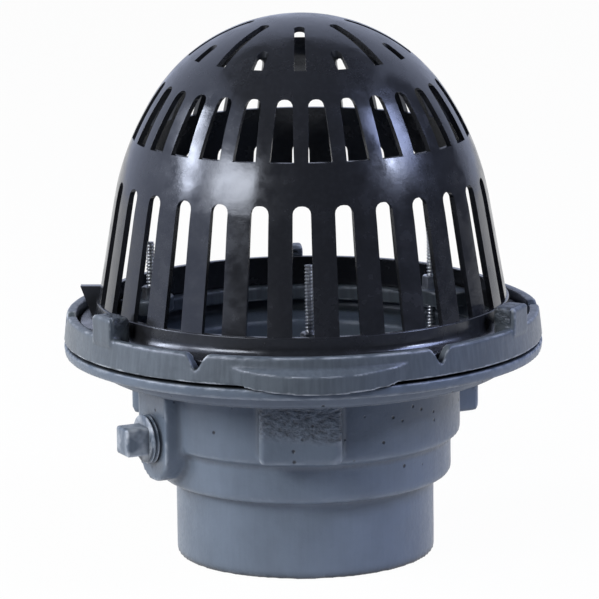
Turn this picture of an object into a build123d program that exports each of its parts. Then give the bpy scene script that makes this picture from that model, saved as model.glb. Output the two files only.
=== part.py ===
"""Flat roof drain: cast-iron body, clamp ring with gravel guard, and twist-on dome strainer.

Millimetres. Z runs up the drain's axis from the outlet's lower face.
The front of the drain faces -Y, and every angle is taken from there towards +X.
"""

import os
from math import radians, sin, sqrt, tan

from build123d import *

# Outlet and sump of the body casting, from the bottom up
SPIGOT_RADIUS = 55.65
SPIGOT_WALL = 4.85
SPIGOT_TOP = 34.0
NECK_STEP = 7.55
NECK_HEIGHT = 17.8
NECK_ROUNDING = 4.5
NECK_WALL = 5.7
BOWL_STEP = 4.1
BOWL_HEIGHT = 29.2
BOWL_ROUNDING = 2.6
BOWL_WALL = 5.8
SPIGOT_BORE = SPIGOT_RADIUS - SPIGOT_WALL
NECK_RADIUS = SPIGOT_RADIUS + NECK_STEP
NECK_BORE = NECK_RADIUS - NECK_WALL
NECK_TOP = SPIGOT_TOP + NECK_HEIGHT
BOWL_RADIUS = NECK_RADIUS + BOWL_STEP
BOWL_BORE = BOWL_RADIUS - BOWL_WALL

# Dished seat and flange of the body casting
FLANGE_OVERHANG = 35.7
FLANGE_THICKNESS = 5.0
FLANGE_DRAFT = 0.8
DISH_SETBACK = 15.0
DISH_DEPTH = 6.8
DISH_SLOPE = 3.0
DISH_LIP = 1.5
FLANGE_RADIUS = BOWL_RADIUS + FLANGE_OVERHANG
FLANGE_LOWER_RADIUS = FLANGE_RADIUS - FLANGE_DRAFT
DISH_RADIUS = FLANGE_RADIUS - DISH_SETBACK
DISH_UNDERSIDE = NECK_TOP + BOWL_HEIGHT
RECESS_RADIUS = DISH_RADIUS - DISH_LIP
FLANGE_UNDERSIDE = DISH_UNDERSIDE + DISH_DEPTH
FLANGE_TOP = FLANGE_UNDERSIDE + FLANGE_THICKNESS

# Stud bosses on the outside of the bowl
STUD_BOSS_ANGLES = (-1.3, 118.7, 238.7)
STUD_BOSS_REACH = 11.0
STUD_BOSS_WIDTH = 35.0
STUD_BOSS_DROP = 26.5
STUD_BOSS_CORNER = 3.0
STUD_BOSS_ROUNDING = 2.0
STUD_BOSS_FACE = BOWL_RADIUS + STUD_BOSS_REACH
STUD_BOSS_BOTTOM = DISH_UNDERSIDE - STUD_BOSS_DROP

# Side tapping and its square-head plug
TAPPING_ANGLE = -64.0
TAPPING_RADIUS = 10.5
TAPPING_DROP = 24.3
TAPPING_BOSS_REACH = 5.0
TAPPING_BOSS_WALL = 3.8
TAPPING_BOSS_FOOT = 4.3
TAPPING_BOSS_ROUNDING = 1.2
PLUG_EXPOSED = 4.0
PLUG_ENGAGED = 9.5
PLUG_CHAMFER = 0.8
PLUG_HEAD_SIZE = 12.0
PLUG_HEAD_LENGTH = 10.0
PLUG_HEAD_CORNER = 1.6
PLUG_HEAD_ROUNDING = 1.1
TAPPING_FACE = BOWL_RADIUS + TAPPING_BOSS_REACH
TAPPING_HEIGHT = DISH_UNDERSIDE - TAPPING_DROP
TAPPING_BOSS_HALF_WIDTH = TAPPING_RADIUS + TAPPING_BOSS_WALL

# Studs that hold the ring down, with the height each stands proud of its ear
STUD_SETOUT = 4.7
STUD_RADIUS = 1.9
STUD_LENGTH = 66.0
STUD_CHAMFER = 0.5
STUD_PLAY = 0.5
FRONT_STUD_PROUD = 34.0
LEFT_STUD_PROUD = 25.0
RIGHT_STUD_PROUD = 29.5
STUDS = {
    "front": (2.1, FRONT_STUD_PROUD),
    "left": (-113.5, LEFT_STUD_PROUD),
    "right": (128.5, RIGHT_STUD_PROUD),
}
NUT_FLATS = 6.8
NUT_HEIGHT = 5.5
NUT_CHAMFER = 0.55
STUD_CIRCLE = BOWL_RADIUS + STUD_SETOUT

# Clamp ring with gravel guard
RING_TURN = 4.0
RIM_SETBACK = 0.7
RIM_DRAFT = 0.8
RIM_THICKNESS = 4.3
RIM_HEIGHT = 13.2
RIM_ROUNDING = 1.2
SEAT_WIDTH = 17.2
SEAT_THICKNESS = 6.4
NOTCH_COUNT = 6
NOTCH_WIDTH = 8.4
NOTCH_DEPTH = 8.0
NOTCH_ROUNDING = 0.6
PAD_COUNT = 3
PAD_OVERHANG = 3.2
PAD_CURVE = 65.6
PAD_DROP = 1.9
PAD_HEIGHT = 11.0
PAD_SLOPE = 4.0
PAD_CLEARANCE = 0.35
LUG_COUNT = 3
LUG_SPAN = 8.2
LUG_DEPTH = 10.0
LUG_DROP = 2.6
LUG_RISE = 9.0
LUG_ROUNDING = 1.8
LUG_INSET = 0.35
EAR_WIDTH = 23.0
EAR_MARGIN = 6.5
EAR_CORNER = 7.0
EAR_RISE = 5.8
EAR_THICKNESS = 6.5
EAR_LAP = 3.4
RIM_FOOT_RADIUS = FLANGE_RADIUS - RIM_SETBACK
RIM_TOP_RADIUS = RIM_FOOT_RADIUS - RIM_DRAFT
RIM_INNER_RADIUS = RIM_TOP_RADIUS - RIM_THICKNESS
RIM_TOP = FLANGE_TOP + RIM_HEIGHT
RING_BORE = RIM_INNER_RADIUS - SEAT_WIDTH
RING_SEAT = FLANGE_TOP + SEAT_THICKNESS
EAR_TIP = STUD_CIRCLE - EAR_MARGIN
EAR_ROOT = RING_BORE + EAR_LAP
EAR_TOP = RING_SEAT + EAR_RISE

# Dome strainer moulding: locking flange, base band and shell
DOME_PLAY = 1.2
DOME_FLANGE_WIDTH = 7.5
DOME_FLANGE_THICKNESS = 3.2
DOME_FLANGE_FILLET = 5.0
BAND_DRAFT = 0.3
BAND_HEIGHT = 12.3
BAND_LEDGE = 0.9
SHELL = 2.2
DOME_HEIGHT = 121.7
WALL_LEAN = 0.1724
WALL_SHARE = 0.3418
SHOULDER_SHARE = 1.0148
CUTOUT_HALF_SPAN = 6.2
CUTOUT_MARGIN = 1.8
FIN_ANGLE = -93.0
FIN_RISE = 4.5
FIN_LENGTH = 7.1
FIN_FOOT_LENGTH = 2.1
FIN_THICKNESS = 4.0
FIN_ROUNDING = 0.8
DOME_FLANGE_RADIUS = RIM_INNER_RADIUS - DOME_PLAY
DOME_FLANGE_TOP = RING_SEAT + DOME_FLANGE_THICKNESS
DOME_BAND_RADIUS = DOME_FLANGE_RADIUS - DOME_FLANGE_WIDTH
SILL = RING_SEAT + BAND_HEIGHT
FOOT_RADIUS = DOME_BAND_RADIUS - BAND_LEDGE
DOME_BORE = FOOT_RADIUS - SHELL
WALL_TOP = SILL + DOME_HEIGHT * WALL_SHARE
SHOULDER_RADIUS = DOME_HEIGHT * SHOULDER_SHARE
CROWN = SILL + DOME_HEIGHT

# Slots of the dome: two tiers around the wall and one on the crown
SLOT_COUNT = 28
LOWER_SLOT_HEIGHT = 53.2
LOWER_SLOT_FOOT = 9.2
LOWER_SLOT_HEAD = 7.6
MIDDLE_SLOT_RISE = 70.1
MIDDLE_SLOT_HEIGHT = 24.3
MIDDLE_SLOT_FOOT = 10.1
MIDDLE_SLOT_HEAD = 6.8
CROWN_SLOT_COUNT = 16
CROWN_SLOT_OUTER = 47.2
CROWN_SLOT_LONG = 28.2
CROWN_SLOT_SHORT = 9.2
CROWN_SLOT_WIDTH = 5.0
CROWN_SLOT_CORNER = 1.2
SLOT_HEAD_ROUNDNESS = 0.44

LOW = (Align.CENTER, Align.CENTER, Align.MIN)


def rounded_outline(corners):
    """Face bounded by straight sides through (across, up, radius) corners."""
    count = len(corners)
    joints = []
    for index, (across, up, radius) in enumerate(corners):
        here = Vector(across, up)
        if radius == 0:
            joints.append((here, here, None))
            continue
        back = (Vector(*corners[index - 1][:2]) - here).normalized()
        ahead = (Vector(*corners[(index + 1) % count][:2]) - here).normalized()
        half_angle = radians(back.get_angle(ahead) / 2)
        reach = radius / tan(half_angle)
        middle = here + (back + ahead).normalized() * (radius / sin(half_angle) - radius)
        joints.append((here + back * reach, here + ahead * reach, middle))
    edges = []
    for index, (start, finish, middle) in enumerate(joints):
        edges.append(Line(joints[index - 1][1], start))
        if middle is not None:
            edges.append(ThreePointArc(start, middle, finish))
    return make_face(edges)


def turned(corners):
    """Solid of revolution about the drain's axis from (radius, height, rounding) corners."""
    return revolve(Plane.XZ * rounded_outline(corners), Axis.Z)


def around(shape, angles):
    """Copies of a shape built at the front, turned to each angle."""
    return [Rot(0, 0, angle) * shape for angle in angles]


def evenly(count, first=0.0):
    """Angles of count equal places around the axis."""
    return [first + 360.0 * index / count for index in range(count)]


def front_pad(corners, inner, outer, rounding):
    """Raised pad with the given (across, up, radius) outline and a rounded front edge."""
    pad = extrude(Plane.XZ.offset(inner) * rounded_outline(corners), outer - inner)
    return fillet(pad.faces().sort_by(Axis.Y)[0].edges(), rounding)


def drain_body():
    """Flange, dished seat, stepped sump, bosses and outlet spigot as one casting."""
    body = turned([
        (0, 0, 0),
        (SPIGOT_RADIUS, 0, 0),
        (SPIGOT_RADIUS, SPIGOT_TOP, 0),
        (NECK_RADIUS, SPIGOT_TOP, NECK_ROUNDING),
        (NECK_RADIUS, NECK_TOP, 0),
        (BOWL_RADIUS, NECK_TOP, BOWL_ROUNDING),
        (BOWL_RADIUS, DISH_UNDERSIDE, 0),
        (DISH_RADIUS, DISH_UNDERSIDE, 0),
        (DISH_RADIUS + DISH_SLOPE, FLANGE_UNDERSIDE, 0),
        (FLANGE_LOWER_RADIUS, FLANGE_UNDERSIDE, 0),
        (FLANGE_RADIUS, FLANGE_TOP, 0),
        (0, FLANGE_TOP, 0),
    ])
    half = STUD_BOSS_WIDTH / 2
    root = NECK_BORE * 0.8
    boss_top = DISH_UNDERSIDE + DISH_DEPTH / 2
    stud_boss = front_pad([
        (-half, STUD_BOSS_BOTTOM, STUD_BOSS_CORNER),
        (half, STUD_BOSS_BOTTOM, STUD_BOSS_CORNER),
        (half, boss_top, 0),
        (-half, boss_top, 0),
    ], root, STUD_BOSS_FACE, STUD_BOSS_ROUNDING)
    side = TAPPING_BOSS_HALF_WIDTH
    turn = side * 0.98
    boss_foot = TAPPING_HEIGHT - side - TAPPING_BOSS_FOOT
    tapping_boss = front_pad([
        (-side, boss_foot, turn),
        (side, boss_foot, turn),
        (side, boss_top, 0),
        (-side, boss_top, 0),
    ], root, TAPPING_FACE, TAPPING_BOSS_ROUNDING)
    body = body + around(stud_boss, STUD_BOSS_ANGLES) + around(tapping_boss, [TAPPING_ANGLE])
    body -= turned([
        (0, 0, 0),
        (SPIGOT_BORE, 0, 0),
        (SPIGOT_BORE, SPIGOT_TOP - SPIGOT_WALL / 2, 0),
        (NECK_BORE, SPIGOT_TOP + NECK_WALL, 0),
        (NECK_BORE, NECK_TOP, 0),
        (BOWL_BORE, NECK_TOP + BOWL_WALL, 0),
        (BOWL_BORE, FLANGE_UNDERSIDE, 0),
        (RECESS_RADIUS, FLANGE_UNDERSIDE, 0),
        (RECESS_RADIUS, FLANGE_TOP, 0),
        (0, FLANGE_TOP, 0),
    ])
    tapping = Cylinder(TAPPING_RADIUS, TAPPING_FACE, rotation=(90, 0, 0), align=LOW)
    tapping = Pos(0, -root, TAPPING_HEIGHT) * tapping
    body -= around(tapping, [TAPPING_ANGLE])
    for angle, proud in STUDS.values():
        hole = Cylinder(STUD_RADIUS, STUD_LENGTH, align=LOW)
        body -= around(Pos(0, -STUD_CIRCLE, EAR_TOP + proud - STUD_LENGTH) * hole, [angle])
    return body


def pipe_plug():
    """Round threaded plug with a square driving head, screwed into the side tapping."""
    length = PLUG_ENGAGED + PLUG_EXPOSED
    shank = Cylinder(TAPPING_RADIUS, length, rotation=(90, 0, 0), align=LOW)
    shank = Pos(0, -(TAPPING_FACE - PLUG_ENGAGED), 0) * shank
    shank = chamfer(shank.faces().filter_by(GeomType.PLANE).edges(), PLUG_CHAMFER)
    start = TAPPING_FACE + PLUG_EXPOSED
    half = PLUG_HEAD_SIZE / 2
    square = [(-half, -half), (half, -half), (half, half), (-half, half)]
    outline = [(across, up, PLUG_HEAD_CORNER) for across, up in square]
    head = front_pad(outline, start - PLUG_CHAMFER, start + PLUG_HEAD_LENGTH, PLUG_HEAD_ROUNDING)
    return Rot(0, 0, TAPPING_ANGLE) * (Pos(0, 0, TAPPING_HEIGHT) * (shank + head))


def clamp_ring():
    """Seat, gravel-guard rim, flange pads, dome lugs and stud ears as one casting."""
    ring = turned([
        (RING_BORE, FLANGE_TOP, 0),
        (RIM_FOOT_RADIUS, FLANGE_TOP, 0),
        (RIM_TOP_RADIUS, RIM_TOP, RIM_ROUNDING),
        (RIM_INNER_RADIUS, RIM_TOP, 0),
        (RIM_INNER_RADIUS, RING_SEAT, 0),
        (RING_BORE, RING_SEAT, 0),
    ])
    pad = Cylinder(PAD_CURVE, PAD_HEIGHT, align=LOW)
    pad = chamfer(pad.faces().sort_by(Axis.Z)[-1].edges(), PAD_SLOPE)
    pad = Pos(0, PAD_CURVE - FLANGE_RADIUS - PAD_OVERHANG, FLANGE_TOP - PAD_DROP) * pad
    pad -= Cylinder(RIM_TOP_RADIUS - RIM_ROUNDING, RIM_TOP, align=LOW)
    pad -= Cylinder(FLANGE_RADIUS + PAD_CLEARANCE, FLANGE_TOP, align=LOW)
    lug_back = RIM_TOP_RADIUS - LUG_INSET
    lug_tip = RIM_TOP_RADIUS - LUG_DEPTH
    lug_section = rounded_outline([
        (lug_tip, RIM_TOP - LUG_DROP, 0),
        (lug_back, RIM_TOP - LUG_DROP, 0),
        (lug_back - LUG_INSET, RIM_TOP + LUG_RISE, LUG_ROUNDING),
        (lug_tip, RIM_TOP + LUG_RISE, LUG_ROUNDING),
    ])
    lug = revolve(Plane.XZ * lug_section, Axis.Z, revolution_arc=LUG_SPAN)
    lug = Rot(0, 0, -90.0 - LUG_SPAN / 2) * lug
    half = EAR_WIDTH / 2
    ear_plan = rounded_outline([
        (-half, -EAR_ROOT, 0),
        (half, -EAR_ROOT, 0),
        (half, -EAR_TIP, EAR_CORNER),
        (-half, -EAR_TIP, EAR_CORNER),
    ])
    ear = extrude(Pos(0, 0, EAR_TOP - EAR_THICKNESS) * ear_plan, EAR_THICKNESS)
    ear = ear & Cylinder(EAR_ROOT, EAR_TOP, align=LOW)
    pads = evenly(PAD_COUNT, RING_TURN)
    lugs = evenly(LUG_COUNT, RING_TURN + 180.0 / LUG_COUNT)
    ring = ring + around(pad, pads) + around(lug, lugs) + around(ear, pads)
    half = NOTCH_WIDTH / 2
    notch = rounded_outline([
        (0, RIM_TOP - NOTCH_DEPTH, NOTCH_ROUNDING),
        (half, RIM_TOP, 0),
        (-half, RIM_TOP, 0),
    ])
    notch = extrude(Plane.XZ.offset(RIM_INNER_RADIUS - DOME_PLAY) * notch, RIM_THICKNESS + NOTCH_WIDTH)
    ring -= around(notch, evenly(NOTCH_COUNT, RING_TURN + 180.0 / NOTCH_COUNT))
    for angle, _ in STUDS.values():
        hole = Pos(0, -STUD_CIRCLE, 0) * Cylinder(STUD_RADIUS + STUD_PLAY, RIM_TOP, align=LOW)
        ring -= around(hole, [angle])
    return ring


def stud(angle, proud):
    """Threaded stud screwed into its boss."""
    rod = Cylinder(STUD_RADIUS, STUD_LENGTH, align=LOW)
    rod = chamfer(rod.edges().filter_by(GeomType.CIRCLE), STUD_CHAMFER)
    return Rot(0, 0, angle) * (Pos(0, -STUD_CIRCLE, EAR_TOP + proud - STUD_LENGTH) * rod)


def nut(angle):
    """Hex nut on a stud, tight on the ring's ear."""
    corner = NUT_FLATS / sqrt(3)
    blank = extrude(RegularPolygon(corner, 6), NUT_HEIGHT)
    cone = Cone(corner + NUT_HEIGHT - NUT_CHAMFER, corner - NUT_CHAMFER, NUT_HEIGHT, align=LOW)
    blank = (blank & cone) - Cylinder(STUD_RADIUS, NUT_HEIGHT, align=LOW)
    return Rot(0, 0, angle) * (Pos(0, -STUD_CIRCLE, EAR_TOP) * blank)


def dome_profile(inset):
    """Tangent points of the dome's wall, shoulder and crown, moved inwards by inset."""
    length = sqrt(1 + WALL_LEAN ** 2)
    normal = Vector(1 / length, WALL_LEAN / length)
    outer_end = Vector(FOOT_RADIUS - WALL_LEAN * (WALL_TOP - SILL), WALL_TOP)
    shoulder_centre = outer_end - normal * SHOULDER_RADIUS
    rise = SHOULDER_RADIUS - CROWN
    crown_height = (shoulder_centre.X ** 2 + shoulder_centre.Y ** 2 - rise ** 2)
    crown_height /= 2 * (rise + shoulder_centre.Y)
    crown_centre = Vector(0, crown_height)
    towards = (crown_centre - shoulder_centre).normalized()
    wall_foot = Vector(FOOT_RADIUS, SILL) - normal * inset
    wall_end = outer_end - normal * inset
    reach = SHOULDER_RADIUS - inset
    join = shoulder_centre + towards * reach
    shoulder_middle = shoulder_centre + (normal + towards).normalized() * reach
    top = Vector(0, CROWN - inset)
    crown_middle = crown_centre + (towards + Vector(0, 1)).normalized() * (CROWN - crown_height - inset)
    return wall_foot, wall_end, shoulder_middle, join, crown_middle, top


def dome_solid(inset, base_radius):
    """Solid bullet shape down to the seat, with its surface moved inwards by inset."""
    foot, wall_end, shoulder_middle, join, crown_middle, top = dome_profile(inset)
    edges = [
        Line((0, RING_SEAT), (base_radius, RING_SEAT)),
        Line((base_radius, RING_SEAT), (base_radius, foot.Y)),
        Line((base_radius, foot.Y), foot),
        Line(foot, wall_end),
        ThreePointArc(wall_end, shoulder_middle, join),
        ThreePointArc(join, crown_middle, top),
        Line(top, (0, RING_SEAT)),
    ]
    return revolve(Plane.XZ * make_face(edges), Axis.Z)


def wall_slot(bottom, top, foot_width, head_width):
    """Tapered slot through the wall with a flat sill and a rounded head."""
    outline = rounded_outline([
        (-foot_width / 2, bottom, 0),
        (foot_width / 2, bottom, 0),
        (head_width / 2, top, head_width * SLOT_HEAD_ROUNDNESS),
        (-head_width / 2, top, head_width * SLOT_HEAD_ROUNDNESS),
    ])
    return extrude(Plane.XZ.offset(FOOT_RADIUS / 2) * outline, FOOT_RADIUS)


def crown_slot(length):
    """Radial slot cut down through the crown."""
    narrow = CROWN_SLOT_WIDTH * 0.42
    wide = CROWN_SLOT_WIDTH / 2
    inner = CROWN_SLOT_OUTER - length
    outline = rounded_outline([
        (-wide, -CROWN_SLOT_OUTER, CROWN_SLOT_CORNER),
        (wide, -CROWN_SLOT_OUTER, CROWN_SLOT_CORNER),
        (narrow, -inner, narrow * 2 * SLOT_HEAD_ROUNDNESS),
        (-narrow, -inner, narrow * 2 * SLOT_HEAD_ROUNDNESS),
    ])
    return extrude(Pos(0, 0, WALL_TOP) * outline, CROWN - WALL_TOP)


def dome_strainer():
    """Three-tier slotted dome with a solid base band and a notched locking flange."""
    base = turned([
        (DOME_BORE - SHELL / 2, RING_SEAT, 0),
        (DOME_FLANGE_RADIUS, RING_SEAT, 0),
        (DOME_FLANGE_RADIUS, DOME_FLANGE_TOP, 0),
        (DOME_BAND_RADIUS + BAND_DRAFT, DOME_FLANGE_TOP, DOME_FLANGE_FILLET),
        (DOME_BAND_RADIUS, SILL, 0),
        (DOME_BORE - SHELL / 2, SILL, 0),
    ])
    cutout = revolve(
        Plane.XZ * rounded_outline([
            (DOME_BAND_RADIUS + CUTOUT_MARGIN, RING_SEAT, 0),
            (RIM_INNER_RADIUS, RING_SEAT, 0),
            (RIM_INNER_RADIUS, SILL, 0),
            (DOME_BAND_RADIUS + CUTOUT_MARGIN, SILL, 0),
        ]),
        Axis.Z,
        revolution_arc=2 * CUTOUT_HALF_SPAN,
    )
    cutout = Rot(0, 0, -90.0 - CUTOUT_HALF_SPAN) * cutout
    fin_root = DOME_BORE + SHELL / 2
    fin = rounded_outline([
        (fin_root, DOME_FLANGE_TOP, 0),
        (DOME_BAND_RADIUS + FIN_FOOT_LENGTH, DOME_FLANGE_TOP, 0),
        (DOME_BAND_RADIUS + FIN_LENGTH, SILL + FIN_RISE, FIN_ROUNDING),
        (fin_root, SILL + FIN_RISE, 0),
    ])
    fin = extrude(Plane.XZ * fin, FIN_THICKNESS / 2, both=True)
    dome = dome_solid(0.0, DOME_BORE + SHELL / 3) + base - around(cutout, evenly(PAD_COUNT, RING_TURN))
    dome = dome + Rot(0, 0, FIN_ANGLE - 90.0) * fin
    dome -= dome_solid(SHELL, DOME_BORE)
    pitch = 360.0 / SLOT_COUNT
    lower = wall_slot(SILL, SILL + LOWER_SLOT_HEIGHT, LOWER_SLOT_FOOT, LOWER_SLOT_HEAD)
    middle_sill = SILL + MIDDLE_SLOT_RISE
    middle = wall_slot(middle_sill, middle_sill + MIDDLE_SLOT_HEIGHT, MIDDLE_SLOT_FOOT, MIDDLE_SLOT_HEAD)
    slots = around(lower, evenly(SLOT_COUNT)) + around(middle, evenly(SLOT_COUNT, pitch / 2))
    half_count = CROWN_SLOT_COUNT // 2
    slots += around(crown_slot(CROWN_SLOT_LONG), evenly(half_count))
    slots += around(crown_slot(CROWN_SLOT_SHORT), evenly(half_count, 360.0 / CROWN_SLOT_COUNT))
    return dome - slots


nodes = {
    "drain_body": drain_body(),
    "pipe_plug": pipe_plug(),
    "clamp_ring": clamp_ring(),
    "dome_strainer": dome_strainer(),
}
for place, (stud_angle, stud_top) in STUDS.items():
    nodes["stud_" + place] = stud(stud_angle, stud_top)
    nodes["nut_" + place] = nut(stud_angle)

os.makedirs("parts", exist_ok=True)
for name, shape in nodes.items():
    export_step(shape, "parts/" + name + ".step")
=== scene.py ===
"""Flat roof drain: painted iron castings, a moulded dome strainer and zinc-plated studs.

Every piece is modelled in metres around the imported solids. The front faces -Y, and every
angle around the drain's axis is taken from there towards +X.
"""

import math

import bmesh
import bpy
from mathutils import Matrix, Vector, noise


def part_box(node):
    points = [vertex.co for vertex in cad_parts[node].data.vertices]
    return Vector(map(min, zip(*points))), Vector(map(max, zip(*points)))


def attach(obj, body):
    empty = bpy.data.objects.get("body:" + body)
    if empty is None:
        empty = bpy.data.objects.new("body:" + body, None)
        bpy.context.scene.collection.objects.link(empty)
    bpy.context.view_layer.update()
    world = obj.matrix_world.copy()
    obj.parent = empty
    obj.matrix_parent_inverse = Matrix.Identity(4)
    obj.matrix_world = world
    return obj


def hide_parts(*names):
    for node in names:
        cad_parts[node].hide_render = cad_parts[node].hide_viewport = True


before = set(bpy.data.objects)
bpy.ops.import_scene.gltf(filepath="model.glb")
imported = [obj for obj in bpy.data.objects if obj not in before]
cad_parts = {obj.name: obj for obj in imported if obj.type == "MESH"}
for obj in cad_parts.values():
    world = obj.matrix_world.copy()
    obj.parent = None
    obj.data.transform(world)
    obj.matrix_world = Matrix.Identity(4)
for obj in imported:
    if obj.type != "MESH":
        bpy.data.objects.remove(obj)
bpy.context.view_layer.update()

bl_info = {
    "name": "Flat Roof Drain",
    "version": (1, 0, 0),
    "blender": (4, 5, 0),
    "location": "View3D > Sidebar > Roof Drain",
    "description": "Builds the dressed pieces of a flat roof drain around its packed solids",
    "category": "Add Mesh",
}

MM = 0.001
FULL_TURN = 2.0 * math.pi
FOLD = 3
NOTCH_COUNT = 6
CASTING_STEPS = 240


def linear(hex_colour):
    """Linear RGB of an sRGB hex colour."""
    channels = [int(hex_colour[start:start + 2], 16) / 255.0 for start in (1, 3, 5)]
    return tuple(c / 12.92 if c <= 0.04045 else ((c + 0.055) / 1.055) ** 2.4 for c in channels)


def length(name, description, millimetres):
    """Length property with its default given in millimetres."""
    return bpy.props.FloatProperty(
        name=name, description=description, default=millimetres * MM, precision=5, unit="LENGTH"
    )


def angle(name, description, degrees):
    """Angle property with its default given in degrees."""
    return bpy.props.FloatProperty(
        name=name, description=description, default=math.radians(degrees), unit="ROTATION", subtype="ANGLE"
    )


def colour(name, description, hex_colour):
    """Colour property with its default given as an sRGB hex value."""
    return bpy.props.FloatVectorProperty(
        name=name, description=description, default=linear(hex_colour),
        size=3, min=0.0, max=1.0, subtype="COLOR",
    )


class BodySizes(bpy.types.PropertyGroup):
    """Sizes of the body casting and of the plug in its side."""

    spigot_radius: length("Spigot radius", "Outside of the plain outlet", 55.65)
    spigot_bore: length("Spigot bore", "Inside radius of the outlet", 50.8)
    spigot_top: length("Spigot top", "Height of the shoulder above the outlet", 34.0)
    neck_radius: length("Neck radius", "Outside of the sump's lower step", 63.2)
    neck_top: length("Neck top", "Height of the step between neck and bowl", 51.8)
    bowl_radius: length("Bowl radius", "Outside of the sump's upper step", 67.3)
    wall: length("Wall", "Thickness of the sump's wall", 5.8)
    dish_underside: length("Dish underside", "Height of the dished seat's underside", 81.0)
    dish_radius: length("Dish radius", "Outside of the dished seat", 88.0)
    flange_radius: length("Flange radius", "Outside of the flange", 103.0)
    flange_underside: length("Flange underside", "Height of the flange's underside", 87.8)
    flange_top: length("Flange top", "Height of the flange's upper face", 92.8)
    boss_face: length("Boss face", "Axis to a stud boss's face", 78.3)
    boss_width: length("Boss width", "Width of a stud boss", 35.0)
    boss_bottom: length("Boss bottom", "Height of a stud boss's lower edge", 54.5)
    boss_turn: angle("Boss turn", "Angle of the front stud boss", -1.3)
    tapping_turn: angle("Tapping turn", "Angle of the side tapping", -64.0)
    tapping_height: length("Tapping height", "Height of the side tapping's axis", 56.7)
    tapping_face: length("Tapping face", "Axis to the tapping boss's face", 72.3)
    tapping_half_width: length("Tapping half width", "Half the width of the tapping boss", 14.3)
    tapping_foot: length("Tapping foot", "Height of the tapping boss's lower edge", 38.1)
    plug_radius: length("Plug radius", "Outside of the plug's thread", 10.5)
    plug_exposed: length("Plug exposed", "Length of thread outside the tapping", 4.0)
    plug_head: length("Plug head", "Width of the plug's square head", 12.0)
    plug_head_length: length("Plug head length", "Length of the plug's square head", 10.0)


class RingSizes(bpy.types.PropertyGroup):
    """Sizes of the clamp ring and of the studs and nuts that hold it."""

    turn: angle("Ring turn", "Angle of the ring's front pad", 4.0)
    bore: length("Bore", "Inside radius of the ring's seat", 80.0)
    seat: length("Seat", "Height of the seat under the dome's flange", 99.2)
    rim_foot: length("Rim foot", "Outside radius of the rim at its foot", 102.8)
    rim_radius: length("Rim radius", "Outside radius of the rim at its top", 101.5)
    rim_inner: length("Rim inner radius", "Inside radius of the rim", 97.2)
    rim_top: length("Rim top", "Height of the rim's top", 106.0)
    notch_width: length("Notch width", "Width of a notch at the rim's top", 8.4)
    notch_apex: length("Notch apex", "Height of a notch's lowest point", 99.0)
    pad_reach: length("Pad reach", "Axis to a pad's front", 106.2)
    pad_curve: length("Pad curve", "Radius of a pad's front", 68.0)
    pad_bottom: length("Pad bottom", "Height of a pad's lower edge", 90.9)
    pad_arch: length("Pad arch", "Radius of the arch along a pad's lower edge", 229.0)
    pad_top: length("Pad top", "Height of a pad's upper edge", 101.9)
    pad_edge: length("Pad edge", "Height of a pad's front upper edge", 98.6)
    lug_face: length("Lug face", "Axis to a lug's outer face", 102.2)
    lug_tip: length("Lug tip", "Axis to a lug's tip", 92.3)
    lug_width: length("Lug width", "Width of a lug", 13.9)
    lug_underside: length("Lug underside", "Height of a lug's underside", 103.4)
    lug_top: length("Lug top", "Height of a lug's top", 115.0)
    ear_width: length("Ear width", "Width of an ear", 23.0)
    ear_tip: length("Ear tip", "Axis to an ear's tip", 65.5)
    ear_root: length("Ear root", "Axis to an ear's root", 83.4)
    ear_bottom: length("Ear bottom", "Height of an ear's underside", 98.5)
    ear_top: length("Ear top", "Height of an ear's upper face", 105.0)
    stud_radius: length("Stud radius", "Outside radius of a stud's thread", 1.9)
    stud_pitch: length("Stud pitch", "Rise of a stud's thread in one turn", 1.45)


class DomeSizes(bpy.types.PropertyGroup):
    """Sizes of the dome strainer."""

    flange_radius: length("Flange radius", "Outside of the locking flange", 96.0)
    flange_top: length("Flange top", "Height of the locking flange's upper face", 102.4)
    band_radius: length("Band radius", "Outside of the solid band under the slots", 88.5)
    bore: length("Bore", "Inside radius of the band", 85.4)
    sill: length("Sill", "Height of the lower slots' sill", 111.5)
    foot_radius: length("Foot radius", "Outside of the wall at the sill", 87.6)
    shell: length("Shell", "Thickness of the wall", 2.2)
    wall_top: length("Wall top", "Height where the straight wall ends", 153.1)
    shoulder_radius: length("Shoulder radius", "Radius of the shoulder's curve", 123.5)
    crown: length("Crown", "Height of the dome's top", 233.2)
    lower_head: length("Lower head", "Height of the lower slots' heads", 164.7)
    lower_foot_width: length("Lower foot width", "Width of the lower slots at the sill", 9.2)
    lower_head_width: length("Lower head width", "Width of the lower slots at their heads", 7.6)
    middle_sill: length("Middle sill", "Height of the middle slots' sill", 181.6)
    middle_head: length("Middle head", "Height of the middle slots' heads", 205.9)
    middle_foot_width: length("Middle foot width", "Width of the middle slots at their sill", 10.1)
    middle_head_width: length("Middle head width", "Width of the middle slots at their heads", 6.8)
    crown_slot_width: length("Crown slot width", "Width of the crown slots", 5.0)
    crown_slot_outer: length("Crown slot outer end", "Axis to the crown slots' outer ends", 47.2)
    crown_slot_long: length("Long crown slot", "Axis to the long crown slots' inner ends", 19.0)
    crown_slot_short: length("Short crown slot", "Axis to the short crown slots' inner ends", 38.0)
    fin_turn: angle("Fin turn", "Angle of the fin beside the rim", -93.0)


class DrainColours(bpy.types.PropertyGroup):
    """Colours of the finishes."""

    body_paint: colour("Body paint", "Grey paint of the body casting", "#65707d")
    ring_paint: colour("Ring paint", "Grey paint of the clamp ring", "#5c646b")
    # Drawn near-white, so the rubbed edges also carry a painted highlight
    worn_edge_and_highlight: colour("Worn edge", "Thin paint rubbed along an edge", "#c3c9d0")
    # Also the painted shade in nooks, and the darkening of hollows and creases
    dirt_and_shade: colour("Dirt", "Dark dirt in pits, creases and nooks", "#2a2d31")
    dome_plastic: colour("Dome plastic", "Black plastic of the dome", "#222326")
    zinc: colour("Zinc", "Bright zinc plate", "#e8ebef")
    paper: colour("Paper", "Pale studio floor", "#f4f4f4")


# Shaping

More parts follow.
